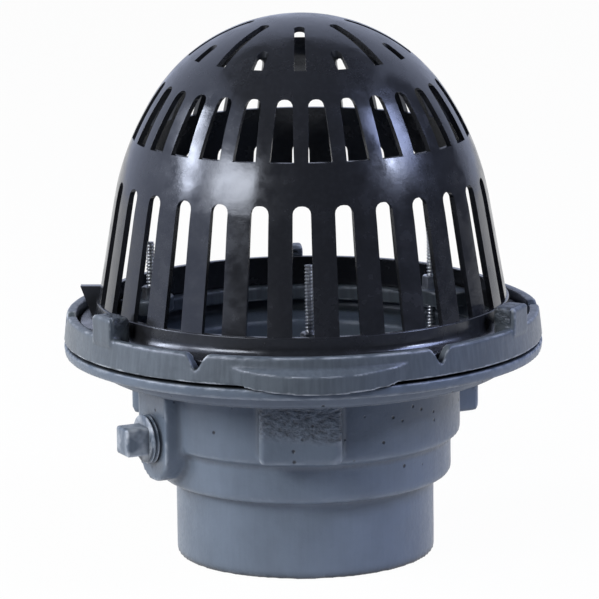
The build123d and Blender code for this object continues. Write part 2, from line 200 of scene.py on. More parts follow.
WELD = 0.001 * MM
THREAD_WELD = 0.005 * MM
CORNER_SEGMENTS = 5


def everything(bm):
    """All the vertices, edges and faces of a shape."""
    return bm.verts[:] + bm.edges[:] + bm.faces[:]


def outward(bm):
    """The shape with its normals turned outwards."""
    bmesh.ops.recalc_face_normals(bm, faces=bm.faces[:])
    return bm


def capped(bm):
    """The shape with its openings filled."""
    bmesh.ops.holes_fill(bm, edges=[edge for edge in bm.edges if edge.is_boundary], sides=0)
    return outward(bm)


def cut_off(bm, place, way):
    """Takes away what lies beyond a plane, on the side that way points to."""
    bmesh.ops.bisect_plane(bm, geom=everything(bm), plane_co=place, plane_no=way, clear_outer=True)


def chained(bm, verts):
    """Joins each vertex to the next by an edge."""
    for start, finish in zip(verts, verts[1:]):
        bm.edges.new((start, finish))


def spun(bm, steps):
    """Outline turned once around the drain's axis and welded where it meets itself."""
    bmesh.ops.spin(
        bm, geom=bm.verts[:] + bm.edges[:], cent=(0, 0, 0), axis=(0, 0, 1),
        angle=FULL_TURN, steps=steps, use_merge=True,
    )
    bmesh.ops.remove_doubles(bm, verts=bm.verts[:], dist=WELD)
    return outward(bm)


def mesh_of(bm, name):
    """Mesh of a shape, which is used up."""
    mesh = bpy.data.meshes.new(name)
    bm.to_mesh(mesh)
    bm.free()
    return mesh


def linked(name, data):
    """New object in the scene for a mesh, a lamp or a camera."""
    made = bpy.data.objects.new(name, data)
    bpy.context.scene.collection.objects.link(made)
    return made


def rounded(bm, reach, segments, chosen=None):
    """Rounds the chosen edges of a shape, or all of them."""
    edges = [edge for edge in bm.edges if chosen is None or chosen(edge)]
    bmesh.ops.bevel(
        bm, geom=edges, offset=reach, offset_type="OFFSET", affect="EDGES",
        segments=segments, profile=0.5, material=-1, clamp_overlap=True,
    )


def turned(corners, steps):
    """Ring turned about the drain's axis from a closed outline of (radius, height, rounding) corners."""
    bm = bmesh.new()
    verts = [bm.verts.new((0.0, -radius, height)) for radius, height, _ in corners]
    chained(bm, verts + verts[:1])
    for vert, (_, _, reach) in zip(verts, corners):
        if reach > 0.0:
            bmesh.ops.bevel(
                bm, geom=[vert], offset=reach, offset_type="OFFSET", affect="VERTICES",
                segments=CORNER_SEGMENTS, profile=0.5, material=-1,
            )
    return spun(bm, steps)


def block(low, high):
    """Box between two corners."""
    bm = bmesh.new()
    bmesh.ops.create_cube(bm, size=1.0)
    low = Vector(low)
    high = Vector(high)
    bmesh.ops.scale(bm, vec=high - low, verts=bm.verts[:])
    bmesh.ops.translate(bm, vec=(low + high) / 2.0, verts=bm.verts[:])
    return bm


def slab(corners, near, far):
    """Plate with an outline of (across, up) corners, from one distance in front of the axis to another."""
    bm = bmesh.new()
    face = bm.faces.new([bm.verts.new((across, -near, up)) for across, up in corners])
    extruded = bmesh.ops.extrude_face_region(bm, geom=[face])["geom"]
    moved = [item for item in extruded if isinstance(item, bmesh.types.BMVert)]
    bmesh.ops.translate(bm, vec=(0.0, near - far, 0.0), verts=moved)
    return outward(bm)


def threaded(root, crest, pitch, height, steps=18):
    """Screw thread standing on the origin along Z, with flat ends."""
    bm = bmesh.new()
    # Radius, and rise as a share of the pitch
    outline = ((root, 0.0), (crest, 0.42), (crest, 0.58), (root, 1.0))
    chained(bm, [bm.verts.new((0.0, -radius, (rise - 1.0) * pitch)) for radius, rise in outline])
    turns = math.ceil(height / pitch) + 2
    bmesh.ops.spin(
        bm, geom=bm.verts[:] + bm.edges[:], cent=(0, 0, 0), axis=(0, 0, 1),
        dvec=(0.0, 0.0, pitch / steps), angle=FULL_TURN * turns, steps=steps * turns,
    )
    bmesh.ops.remove_doubles(bm, verts=bm.verts[:], dist=THREAD_WELD)
    cut_off(bm, (0.0, 0.0, 0.0), (0.0, 0.0, -1.0))
    cut_off(bm, (0.0, 0.0, height), (0.0, 0.0, 1.0))
    return capped(bm)


def joined(*parts):
    """One shape from several, which are used up."""
    whole = bmesh.new()
    for part in parts:
        mesh = mesh_of(part, "joining")
        whole.from_mesh(mesh)
        bpy.data.meshes.remove(mesh)
    return whole


def placed(part, *matrices):
    """The shape moved by each matrix in turn."""
    for matrix in matrices:
        bmesh.ops.transform(part, matrix=matrix, verts=part.verts[:])
    return part


def around(part, turns):
    """Copies of a shape built at the front, turned to each angle, as one shape."""
    copies = [placed(part.copy(), Matrix.Rotation(turn, 4, "Z")) for turn in turns]
    part.free()
    return joined(*copies)


def evenly(count, first=0.0):
    """Angles of count equal places around the axis."""
    return [first + FULL_TURN * index / count for index in range(count)]


def shaped(part, *modifiers):
    """The shape after (kind, settings) modifiers."""
    mesh = mesh_of(part, "shaping")
    holder = linked("shaping", mesh)
    for kind, settings in modifiers:
        modifier = holder.modifiers.new(kind, kind)
        for name, value in settings.items():
            setattr(modifier, name, value)
    graph = bpy.context.evaluated_depsgraph_get()
    result = bpy.data.meshes.new_from_object(holder.evaluated_get(graph))
    made = bmesh.new()
    made.from_mesh(result)
    bpy.data.objects.remove(holder)
    bpy.data.meshes.remove(mesh)
    bpy.data.meshes.remove(result)
    return made


def carved(part, *cutters):
    """The shape with each cutter's volume taken away."""
    for cutter in cutters:
        mesh = mesh_of(cutter, "cutter")
        tool = linked("cutter", mesh)
        part = shaped(part, ("BOOLEAN", {"operation": "DIFFERENCE", "solver": "EXACT", "object": tool}))
        bpy.data.objects.remove(tool)
        bpy.data.meshes.remove(mesh)
    return part


def cast(part, voxel, rounds):
    """Overlapping shapes run together into one casting with soft corners."""
    return shaped(
        part,
        ("REMESH", {"mode": "VOXEL", "voxel_size": voxel}),
        ("SMOOTH", {"factor": 0.5, "iterations": rounds}),
    )


def thickened(bm, inward):
    """Closed shell from an open surface, with its inner face moved in by each vertex's own step."""
    edges = [edge for edge in bm.edges if edge.is_boundary]
    inner = bmesh.ops.duplicate(bm, geom=everything(bm))["vert_map"]
    for vert, step in inward.items():
        inner[vert].co += step
    for edge in edges:
        start, finish = edge.verts
        bm.faces.new((start, finish, inner[finish], inner[start]))
    return outward(bm)


def roughen(bm, depth, size):
    """Sinks the surface here and there by up to depth, as sand moulds leave it."""
    bm.normal_update()
    moves = [vert.normal * (noise.noise(vert.co / size) - 1.0) * depth / 2.0 for vert in bm.verts]
    for vert, move in zip(bm.verts, moves):
        vert.co += move


def mark_bends(bm):
    """Notes on each vertex how sharply the surface bends, outwards above zero and inwards below it."""
    layer = bm.verts.layers.float.new("bend")
    bm.normal_update()
    sharp = {}
    for vert in bm.verts:
        ways = [(vert.co - edge.other_vert(vert).co).normalized() for edge in vert.link_edges]
        sharp[vert] = sum(vert.normal.dot(way) for way in ways) / max(len(ways), 1)
    for vert in bm.verts:
        near = [sharp[edge.other_vert(vert)] for edge in vert.link_edges]
        vert[layer] = (2.0 * sharp[vert] + sum(near)) / (2.0 + len(near))


def piece(name, bm, body, slot, material, *nodes):
    """Finished object that rides on a body and stands for CAD nodes."""
    made = linked(name, mesh_of(bm, name))
    made.data.shade_smooth()
    made.data.materials.append(material)
    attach(made, body)
    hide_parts(*nodes)
    return made


# Materials


def add_node(tree, kind, settings=None, inputs=None):
    """Adds a node, sets its settings, and sets or links its inputs."""
    made = tree.nodes.new(kind)
    for name, value in (settings or {}).items():
        setattr(made, name, value)
    for name, value in (inputs or {}).items():
        if isinstance(value, bpy.types.NodeSocket):
            tree.links.new(value, made.inputs[name])
        else:
            made.inputs[name].default_value = value
    return made


def new_material(name):
    """Empty node material with Object coordinates, ready for its shader."""
    material = bpy.data.materials.new(name)
    material.use_nodes = True
    tree = material.node_tree
    tree.nodes.clear()
    place = add_node(tree, "ShaderNodeTexCoord").outputs["Object"]
    return material, tree, place


def finish_material(tree, inputs):
    """Adds the surface shader and the output."""
    shader = add_node(tree, "ShaderNodeBsdfPrincipled", None, inputs)
    add_node(tree, "ShaderNodeOutputMaterial", None, {"Surface": shader.outputs["BSDF"]})


def rgba(colour_value, share=1.0):
    """Colour with full alpha, made darker or lighter by a share."""
    return (*(channel * share for channel in colour_value), 1.0)


FEWEST_PITS_HEIGHT = 45.0 * MM
MOST_PITS_HEIGHT = 82.0 * MM
HIGHEST_PIT = 84.0 * MM
# Reach of the ambient occlusion that paints shade into nooks and gaps
NOOK_SHADE_REACH = 7.0 * MM
PIT_CELL = 4.2 * MM
WRINKLE_WAVER = 14.0 * MM
WRINKLE_LOWER_FADE = 5.0 * MM
WRINKLE_UPPER_FADE = 1.5 * MM


def painted_cast_iron(name, paint, colours, pitted, wear_and_highlight_most, streaked, rough):
    """Sand-cast iron under brushed grey enamel.

    The sand leaves a fine grain and shallow swells that break up the semi-gloss sheen, gas leaves
    small dark pits, painted shade darkens the nooks, the hollows and the wrinkles' creases are drawn
    darker, handling rubs the paint thin along the edges, which are drawn near-white as a painted
    highlight too, the brush leaves upright streaks, and metal that shrank last leaves rough wrinkles
    between the radii and heights that rough gives.
    """
    material, tree, place = new_material(name)
    height = add_node(tree, "ShaderNodeSeparateXYZ", None, {"Vector": place}).outputs["Z"]
    bend = add_node(tree, "ShaderNodeAttribute", {"attribute_name": "bend"}).outputs["Fac"]
    # Ambient occlusion, which paints shade into nooks and gaps
    shelter = add_node(tree, "ShaderNodeAmbientOcclusion", {"samples": 8}, {"Distance": NOOK_SHADE_REACH})
    drawn = add_node(tree, "ShaderNodeMapping", None, {"Vector": place, "Scale": (1.0, 1.0, 0.1)})
    squashed = add_node(tree, "ShaderNodeMapping", None, {"Vector": place, "Scale": (1.0, 1.0, 1.7)})

    # Clouded patterns, each with the size of its patches. The sand's own grain, well under a millimetre,
    # is too fine to show, so it is drawn at 1.6 mm
    pattern = {}
    for key, where, size, detail, roughness in (
        ("grain", place, 1.6 * MM, 3.0, 0.6),
        ("swell", place, 7.0 * MM, 2.0, 0.5),
        ("stain", place, 26.0 * MM, 4.0, 0.6),
        ("streak", drawn.outputs["Vector"], 2.0 * MM, 2.0, 0.6),
        ("wrinkle", squashed.outputs["Vector"], 3.0 * MM, 3.0, 0.6),
    ):
        pattern[key] = add_node(tree, "ShaderNodeTexNoise", None, {
            "Vector": where, "Scale": 1.0 / size, "Detail": detail, "Roughness": roughness,
        }).outputs["Fac"]

    # Pits lie one here and there in small cells
    cells = add_node(tree, "ShaderNodeTexVoronoi", None, {"Vector": place, "Scale": 1.0 / PIT_CELL})
    chance = add_node(tree, "ShaderNodeSeparateColor", None, {"Color": cells.outputs["Color"]})

    # Reach from the drain's axis, and a height that wavers for the wrinkled patch's lower edge
    flat = add_node(tree, "ShaderNodeVectorMath", {"operation": "MULTIPLY"}, {0: place, 1: (1.0, 1.0, 0.0)})
    reach = add_node(tree, "ShaderNodeVectorMath", {"operation": "LENGTH"}, {0: flat.outputs["Vector"]})
    waver = add_node(tree, "ShaderNodeMath", {"operation": "SUBTRACT"}, {0: pattern["stain"], 1: 0.5})
    uneven = add_node(tree, "ShaderNodeMath", {"operation": "MULTIPLY_ADD"}, {
        0: waver.outputs["Value"], 1: WRINKLE_WAVER, 2: height,
    })

    # Shares for the layers: each carries a source from one range to another, and holds it at the ends
    low_end = rough["low"] + WRINKLE_LOWER_FADE
    high_end = rough["high"] + WRINKLE_UPPER_FADE
    share = {}
    for key, source, start, finish, low, high, curve in (
        ("spot", cells.outputs["Distance"], 0.1, 0.24, 1.0, 0.0, "SMOOTHSTEP"),
        ("rarity", height, FEWEST_PITS_HEIGHT, MOST_PITS_HEIGHT, 0.99, pitted, "LINEAR"),
        ("cloud", pattern["stain"], 0.3, 0.7, 0.0, 1.0, "LINEAR"),
        ("brush", pattern["streak"], 0.35, 0.65, -streaked, streaked, "LINEAR"),
        # Rubbed paint on outward bends, drawn near-white as a painted highlight too
        ("rubbed", bend, 0.06, 0.15, 0.0, 1.0, "LINEAR"),
        ("patchy", pattern["swell"], 0.42, 0.6, 0.0, wear_and_highlight_most, "LINEAR"),
        ("outside", reach.outputs["Value"], rough["bare"], rough["deep"], 0.0, 1.0, "SMOOTHSTEP"),
        ("above", uneven.outputs["Value"], rough["low"], low_end, 0.0, 1.0, "SMOOTHSTEP"),
        ("below", height, rough["high"], high_end, 1.0, 0.0, "SMOOTHSTEP"),
        ("crease", pattern["wrinkle"], 0.58, 0.38, 0.1, 0.75, "LINEAR"),
        ("hollow", bend, -0.02, -0.16, 0.0, 0.7, "LINEAR"),
        ("nook_shade", shelter.outputs["AO"], 0.25, 0.8, 0.9, 0.0, "LINEAR"),
        ("gloss", pattern["grain"], 0.3, 0.7, 0.32, 0.46, "LINEAR"),
    ):
        share[key] = add_node(tree, "ShaderNodeMapRange", {"interpolation_type": curve}, {
            "Value": source, "From Min": start, "From Max": finish, "To Min": low, "To Max": high,
        }).outputs["Result"]

    # Layers, each from the ones before it
    layer = {**pattern, **share, "height": height, "chance": chance.outputs["Red"], "top": HIGHEST_PIT}
    for key, operation, first, second in (
        ("picked", "GREATER_THAN", "chance", "rarity"),
        ("low", "LESS_THAN", "height", "top"),
        ("pit", "MULTIPLY", "spot", "picked"),
        ("pit", "MULTIPLY", "pit", "low"),
        ("tone", "ADD", "cloud", "brush"),
        ("wear_and_highlight", "MULTIPLY", "rubbed", "patchy"),
        ("patch", "MULTIPLY", "outside", "above"),
        ("patch", "MULTIPLY", "patch", "below"),
        ("creased", "MULTIPLY", "patch", "crease"),
        ("wrinkled", "MULTIPLY", "patch", "wrinkle"),
        # Dark pits, darker hollows and creases, and painted shade in nooks from the ambient occlusion
        ("dirt_and_shade", "MAXIMUM", "pit", "hollow"),
        ("dirt_and_shade", "MAXIMUM", "dirt_and_shade", "creased"),
        ("dirt_and_shade", "MAXIMUM", "dirt_and_shade", "nook_shade"),
    ):
        layer[key] = add_node(tree, "ShaderNodeMath", {"operation": operation, "use_clamp": key == "tone"}, {
            0: layer[first], 1: layer[second],
        }).outputs["Value"]

    # Paint over its darker tone, then rubbed edges with a painted highlight, then dark pits, darker hollows
    # and creases, and painted shade in nooks
    coat = rgba(paint, 0.8)
    for key, tint in (("tone", paint), ("wear_and_highlight", colours.worn_edge_and_highlight), ("dirt_and_shade", colours.dirt_and_shade)):
        coat = add_node(tree, "ShaderNodeMix", {"data_type": "RGBA"}, {
            0: layer[key], 6: coat, 7: rgba(tint),
        }).outputs[2]

    # Relief, each on top of the one before it
    relief = {}
    for key, strength, depth, sunk in (
        ("swell", 0.5, 0.5 * MM, False),
        ("grain", 0.45, 0.22 * MM, False),
        ("pit", 0.8, 0.5 * MM, True),
        ("wrinkled", 0.9, 1.6 * MM, False),
    ):
        bump = add_node(tree, "ShaderNodeBump", {"invert": sunk}, {
            "Height": layer[key], "Strength": strength, "Distance": depth, **relief,
        })
        relief = {"Normal": bump.outputs["Normal"]}
    finish_material(tree, {
        "Base Color": coat, "Roughness": share["gloss"],
        "Specular Tint": rgba(linear("#e6ebff")), **relief,
    })
    return material


def moulded_polyethylene(name, plastic):
    """Black polyethylene as it leaves a polished mould.

    The skin is glossy but waxy, so highlights are soft, and flow marks and scuffs blotch them.
    """
    material, tree, place = new_material(name)
    flow = add_node(tree, "ShaderNodeTexNoise", None, {
        "Vector": place, "Scale": 1.0 / (11.0 * MM), "Detail": 4.0, "Roughness": 0.6,
    }).outputs["Fac"]
    scuff = add_node(tree, "ShaderNodeTexNoise", None, {
        "Vector": place, "Scale": 1.0 / (2.0 * MM), "Detail": 2.0, "Roughness": 0.5,
    }).outputs["Fac"]
    gloss = add_node(tree, "ShaderNodeMapRange", None, {
        "Value": flow, "From Min": 0.35, "From Max": 0.65, "To Min": 0.14, "To Max": 0.3,
    })
    dusty = add_node(tree, "ShaderNodeMapRange", None, {"Value": scuff, "From Min": 0.45, "From Max": 0.75})
    skin = add_node(tree, "ShaderNodeMix", {"data_type": "RGBA"}, {
        0: dusty.outputs["Result"], 6: rgba(plastic), 7: rgba(plastic, 1.25),
    })
    sinks = add_node(tree, "ShaderNodeBump", None, {"Height": flow, "Strength": 0.3, "Distance": 0.4 * MM})
    finish_material(tree, {
        "Base Color": skin.outputs[2], "Roughness": gloss.outputs["Result"], "IOR": 1.55,
        "Specular Tint": rgba(linear("#e9f0ff")), "Normal": sinks.outputs["Normal"],
    })
    return material


def zinc_plated_steel(name, zinc):
    """Rolled steel thread under bright zinc plate.

    The plate is bright and slightly cloudy, it catches light on every thread crest, and the roots
    are drawn nearly black as painted shade.
    """
    material, tree, place = new_material(name)
    cloud = add_node(tree, "ShaderNodeTexNoise", None, {
        "Vector": place, "Scale": 1.0 / (3.0 * MM), "Detail": 3.0, "Roughness": 0.6,
    }).outputs["Fac"]
    bend = add_node(tree, "ShaderNodeAttribute", {"attribute_name": "bend"}).outputs["Fac"]
    tone = add_node(tree, "ShaderNodeMapRange", None, {"Value": cloud, "From Min": 0.35, "From Max": 0.65})
    crest = add_node(tree, "ShaderNodeMapRange", None, {"Value": bend, "From Min": -0.12, "From Max": 0.02})
    plate = add_node(tree, "ShaderNodeMix", {"data_type": "RGBA"}, {
        0: tone.outputs["Result"], 6: rgba(zinc, 0.72), 7: rgba(zinc),
    })
    # Painted shade: the thread roots are drawn nearly black, the crests in the plate's colour
    thread = add_node(tree, "ShaderNodeMix", {"data_type": "RGBA"}, {
        0: crest.outputs["Result"], 6: rgba(zinc, 0.08), 7: plate.outputs[2],
    })
    gloss = add_node(tree, "ShaderNodeMapRange", None, {
        "Value": cloud, "From Min": 0.3, "From Max": 0.7, "To Min": 0.3, "To Max": 0.45,
    })
    finish_material(tree, {
        "Base Color": thread.outputs[2], "Roughness": gloss.outputs["Result"], "Metallic": 1.0,
    })
    return material


# Dome strainer

SLOT_COUNT = 28
CROWN_SLOT_COUNT = 16
DOME_COLUMNS = 448
SLOT_HALF_COLUMNS = 4
CROWN_SLOT_HALF_COLUMNS = 3
WALL_LEAN = 0.1724
HEAD_ROUNDING = 0.88
CROWN_SLOT_TAPER = 0.16
HEAD_MARGIN = 1.5 * MM
CROWN_MARGIN = 3.0 * MM
DOME_BASE_STEPS = 336
LOWER_ROWS = 14
LOW_BAND_ROWS = 5
MIDDLE_ROWS = 7
HIGH_BAND_ROWS = 4
OUTER_CROWN_ROWS = 3
INNER_CROWN_ROWS = 5
CAP_ROWS = 5
SHORT_END_STEP = 2.5 * MM
FIN_BURIED = 0.4 * MM
FIN_RISE = 4.5 * MM
FIN_LOW_REACH = 2.1 * MM
FIN_HIGH_REACH = 7.1 * MM
FIN_HALF_THICKNESS = 2.0 * MM
CUTOUT_HALF_WIDTH = 9.9 * MM


class DomeCurve:
    """Outside of the dome: a straight leaning wall, a shoulder and a crown, each tangent to the next."""

    def __init__(self, size):
        slant = math.sqrt(1.0 + WALL_LEAN * WALL_LEAN)
        self.size = size
        wall_end = size.foot_radius - WALL_LEAN * (size.wall_top - size.sill)
        self.shoulder_across = wall_end - size.shoulder_radius / slant
        self.shoulder_up = size.wall_top - size.shoulder_radius * WALL_LEAN / slant
        rise = size.shoulder_radius - size.crown
        centre = self.shoulder_across ** 2 + self.shoulder_up ** 2 - rise ** 2
        self.crown_up = centre / (2.0 * (rise + self.shoulder_up))
        self.crown_radius = size.crown - self.crown_up
        slope = (self.crown_up - self.shoulder_up) / -self.shoulder_across
        self.join = self.crown_up + self.crown_radius * slope / math.sqrt(1.0 + slope * slope)

    def radius(self, height):
        """Outside radius at a height."""
        if height <= self.size.wall_top:
            return self.size.foot_radius - WALL_LEAN * (height - self.size.sill)
        if height <= self.join:
            drop = height - self.shoulder_up
            return self.shoulder_across + math.sqrt(self.size.shoulder_radius ** 2 - drop ** 2)
        return math.sqrt(max(self.crown_radius ** 2 - (height - self.crown_up) ** 2, 0.0))

    def height(self, radius):
        """Height of the crown at a radius."""
        return self.crown_up + math.sqrt(self.crown_radius ** 2 - radius ** 2)


def slot_turn(column, count, half_columns, half_width, radius, shift):
    """Angle of a mesh column that is drawn to the nearest of count slots, its place across, and the slot."""
    per_slot = DOME_COLUMNS / count
    pitch = FULL_TURN / count
    index = math.floor((column - shift) / per_slot + 0.5)
    offset = column - shift - index * per_slot
    middle = index * pitch + shift * FULL_TURN / DOME_COLUMNS
    edge = math.asin(half_width / radius)
    if abs(offset) <= half_columns:
        across = math.sin(math.pi / 2.0 * offset / half_columns)
        return middle + math.asin(half_width * across / radius), abs(across), index
    run = (abs(offset) - half_columns) / (per_slot / 2.0 - half_columns)
    return middle + math.copysign(edge + (pitch / 2.0 - edge) * run, offset), None, index


def head_drop(across, half_width):
    """How far a slot's rounded head lies below its top, at a place across it."""
    reach = HEAD_ROUNDING * half_width
    inside = max(across * half_width - (half_width - reach), 0.0)
    return reach - math.sqrt(max(reach * reach - inside * inside, 0.0))


def spread(start, finish, count):
    """Evenly spaced values from start up to but not including finish."""
    return [start + (finish - start) * index / count for index in range(count)]


def between(start, finish, share):
    """Value on the way from start to finish, by a share."""
    return start * (1.0 - share) + finish * share


def dome_shell(size):
    """Slotted wall and crown as one thick shell."""
    curve = DomeCurve(size)
    lower_half = size.lower_head_width / 2.0
    middle_half = size.middle_head_width / 2.0
    crown_half = size.crown_slot_width / 2.0
    lower_spring = size.lower_head - HEAD_ROUNDING * lower_half - HEAD_MARGIN
    middle_spring = size.middle_head - HEAD_ROUNDING * middle_half - HEAD_MARGIN
    crown_outer = curve.height(size.crown_slot_outer)
    # Rows of the mesh from the sill up, each a zone and a height
    rows = [("lower", up) for up in spread(size.sill - HEAD_MARGIN, lower_spring, LOWER_ROWS)]
    rows += [("lower", lower_spring), ("lower head", size.lower_head)]
    low_band = spread(size.lower_head + HEAD_MARGIN, size.middle_sill, LOW_BAND_ROWS)
    rows += [("low band", up) for up in low_band]
    rows += [("middle", up) for up in spread(size.middle_sill, middle_spring, MIDDLE_ROWS)]
    rows += [("middle", middle_spring), ("middle head", size.middle_head)]
    high_band = spread(size.middle_head + HEAD_MARGIN, crown_outer, HIGH_BAND_ROWS)
    rows += [("high band", up) for up in high_band]
    short_margin = size.crown_slot_short + CROWN_MARGIN
    long_margin = size.crown_slot_long + CROWN_MARGIN
    radii = spread(size.crown_slot_outer, short_margin, OUTER_CROWN_ROWS)
    radii += [short_margin, size.crown_slot_short]
    radii += spread(size.crown_slot_short - SHORT_END_STEP, long_margin, INNER_CROWN_ROWS)
    radii += [long_margin, size.crown_slot_long]
    rows += [("crown", curve.height(radius)) for radius in radii]
    cap = spread(size.crown_slot_long - CROWN_MARGIN, 0.0, CAP_ROWS)
    rows += [("cap", curve.height(radius)) for radius in cap]
    rows += [("cap", size.crown)]

    bm = bmesh.new()
    row_layer = bm.verts.layers.int.new("row")
    profile = []
    for index, (_, up) in enumerate(rows):
        vert = bm.verts.new((0.0, -curve.radius(up), up))
        vert[row_layer] = index
        profile.append(vert)
    chained(bm, profile)
    spun(bm, DOME_COLUMNS)

    half_pitch = DOME_COLUMNS / SLOT_COUNT / 2.0
    first = {zone: index for index, (zone, _) in reversed(list(enumerate(rows)))}
    last = {zone: index for index, (zone, _) in enumerate(rows)}
    crown_start = first["crown"]
    long_end = crown_start + radii.index(size.crown_slot_long)
    short_end = crown_start + radii.index(size.crown_slot_short)

    # Sill, head, foot width, head width and shift in columns of the wall's slots
    tiers = {
        "lower": (size.sill, size.lower_head, size.lower_foot_width, size.lower_head_width, 0.0),
        "middle": (
            size.middle_sill, size.middle_head, size.middle_foot_width, size.middle_head_width, half_pitch
        ),
    }

    def wall_turn(tier, column, up, radius):
        sill, head, foot_width, head_width, shift = tiers[tier]
        half = between(foot_width, head_width, min(max((up - sill) / (head - sill), 0.0), 1.0)) / 2.0
        return slot_turn(column, SLOT_COUNT, SLOT_HALF_COLUMNS, half, radius, shift)

    def crown_turn(column, radius):
        inward = (size.crown_slot_outer - radius) / (size.crown_slot_outer - size.crown_slot_long)
        half = crown_half * (1.0 - CROWN_SLOT_TAPER * min(max(inward, 0.0), 1.0))
        return slot_turn(column, CROWN_SLOT_COUNT, CROWN_SLOT_HALF_COLUMNS, half, radius, 0.0)

    open_faces = []
    for face in bm.faces:
        bottom = min(vert[row_layer] for vert in face.verts)
        centre = face.calc_center_median()
        column = math.atan2(centre.x, -centre.y) / FULL_TURN * DOME_COLUMNS
        for start, finish, count, half_columns, shift in (
            (first["lower"], last["lower head"], SLOT_COUNT, SLOT_HALF_COLUMNS, 0.0),
            (first["middle"], last["middle head"], SLOT_COUNT, SLOT_HALF_COLUMNS, half_pitch),
            (crown_start, short_end, CROWN_SLOT_COUNT, CROWN_SLOT_HALF_COLUMNS, 0.0),
            (short_end, long_end, CROWN_SLOT_COUNT // 2, CROWN_SLOT_HALF_COLUMNS, 0.0),
        ):
            per_slot = DOME_COLUMNS / count
            offset = (column - shift + per_slot / 2.0) % per_slot - per_slot / 2.0
            if start <= bottom < finish and abs(offset) < half_columns:
                open_faces.append(face)

    for vert in bm.verts:
        index = vert[row_layer]
        zone, up = rows[index]
        column = round(math.atan2(vert.co.x, -vert.co.y) / FULL_TURN * DOME_COLUMNS)
        radius = math.hypot(vert.co.x, vert.co.y)
        if radius < 1.0 * MM:
            continue
        tier = zone.split()[0]
        if tier in tiers:
            turn, across, _ = wall_turn(tier, column, up, radius)
            if zone.endswith("head"):
                head_half = lower_half if tier == "lower" else middle_half
                up -= head_drop(1.0 if across is None else across, head_half)
        elif zone == "crown":
            turn, across, slot = crown_turn(column, radius)
            ends_here = index == long_end and slot % 2 == 0 or index == short_end and slot % 2 == 1
            if ends_here and across is not None:
                up = curve.height(radius + head_drop(across, crown_half))
        elif zone == "cap":
            share = (index - long_end) / (last["cap"] - long_end)
            even = column * FULL_TURN / DOME_COLUMNS
            turn = between(crown_turn(column, size.crown_slot_long)[0], even, share)
        elif zone == "low band":
            share = (index - last["lower head"]) / (first["middle"] - last["lower head"])
            turn = between(
                wall_turn("lower", column, up, radius)[0], wall_turn("middle", column, up, radius)[0], share
            )
        else:
            share = (index - last["middle head"]) / (crown_start - last["middle head"])
            turn = between(wall_turn("middle", column, up, radius)[0], crown_turn(column, radius)[0], share)
        radius = curve.radius(up)
        vert.co = (radius * math.sin(turn), -radius * math.cos(turn), up)

    bm.normal_update()
    inward = {}
    for vert in bm.verts:
        zone, _ = rows[vert[row_layer]]
        upright = 0.0
        if zone in ("crown", "cap"):
            upright = 1.0
        elif zone == "high band":
            upright = (vert[row_layer] - last["middle head"]) / (crown_start - last["middle head"])
        level = Vector((-vert.co.x, -vert.co.y, 0.0))
        if level.length > 0.0:
            level.normalize()
        way = (level * (1.0 - upright) + Vector((0.0, 0.0, -upright))).normalized()
        inward[vert] = way * (size.shell / -vert.normal.dot(way))
    bmesh.ops.delete(bm, geom=open_faces, context="FACES_ONLY")
    loose = [edge for edge in bm.edges if not edge.link_faces]
    bmesh.ops.delete(bm, geom=loose, context="EDGES")
    return thickened(bm, {vert: step for vert, step in inward.items() if vert.is_valid and vert.link_faces})


def dome_base(size, ring):
    """Locking flange and solid band under the slots."""
    base = turned([
        (size.bore, ring.seat, 0.4 * MM),
        (size.flange_radius, ring.seat, 0.5 * MM),
        (size.flange_radius, size.flange_top, 0.9 * MM),
        (size.band_radius + 0.3 * MM, size.flange_top, 4.6 * MM),
        (size.band_radius, size.sill, 0.5 * MM),
        (size.bore, size.sill, 0.5 * MM),
    ], DOME_BASE_STEPS)
    cutout = block(
        (-CUTOUT_HALF_WIDTH, -size.flange_radius - 3.0 * MM, ring.seat - 2.0 * MM),
        (CUTOUT_HALF_WIDTH, -size.band_radius - 1.8 * MM, size.sill - 1.0 * MM),
    )
    return carved(base, around(cutout, evenly(FOLD, ring.turn)))


class OBJECT_OT_dome_strainer(bpy.types.Operator):
    """Build the slotted dome strainer with its locking flange and fin"""

    bl_idname = "roof_drain.dome_strainer"
    bl_label = "Dome Strainer"

    def execute(self, context):
        size = context.scene.roof_drain_dome
        ring = context.scene.roof_drain_ring
        fin_root = -size.bore - FIN_BURIED
        fin_top = size.sill + FIN_RISE
        fin = slab([
            (-size.band_radius - FIN_LOW_REACH, size.flange_top),
            (fin_root, size.flange_top),
            (fin_root, fin_top),
            (-size.band_radius - FIN_HIGH_REACH, fin_top),
        ], -FIN_HALF_THICKNESS, FIN_HALF_THICKNESS)
        placed(fin, Matrix.Rotation(size.fin_turn + math.pi / 2.0, 4, "Z"))
        plastic = moulded_polyethylene(
            "black_polyethylene_moulded", context.scene.roof_drain_colours.dome_plastic
        )
        dome = piece(
            "dome_moulding", joined(dome_shell(size), dome_base(size, ring), fin),
            "dome", "dome_plastic", plastic, "dome_strainer",
        )
        edges = dome.modifiers.new("moulded edges", "BEVEL")
        edges.width = 0.35 * MM
        edges.segments = 2
        edges.limit_method = "ANGLE"
        edges.angle_limit = math.radians(40.0)
        dome.modifiers.new("clean shading", "WEIGHTED_NORMAL")
        return {"FINISHED"}


# Castings, studs and nuts

BODY_VOXEL = 1.25 * MM
RING_VOXEL = 0.76 * MM
FLASHING_GAP = 1.2 * MM
PLUG_PITCH = 1.9 * MM
PLUG_THREAD_DEPTH = 1.0 * MM
PLUG_BURIED = 4.0 * MM
STUD_THREAD_DEPTH = 0.55 * MM


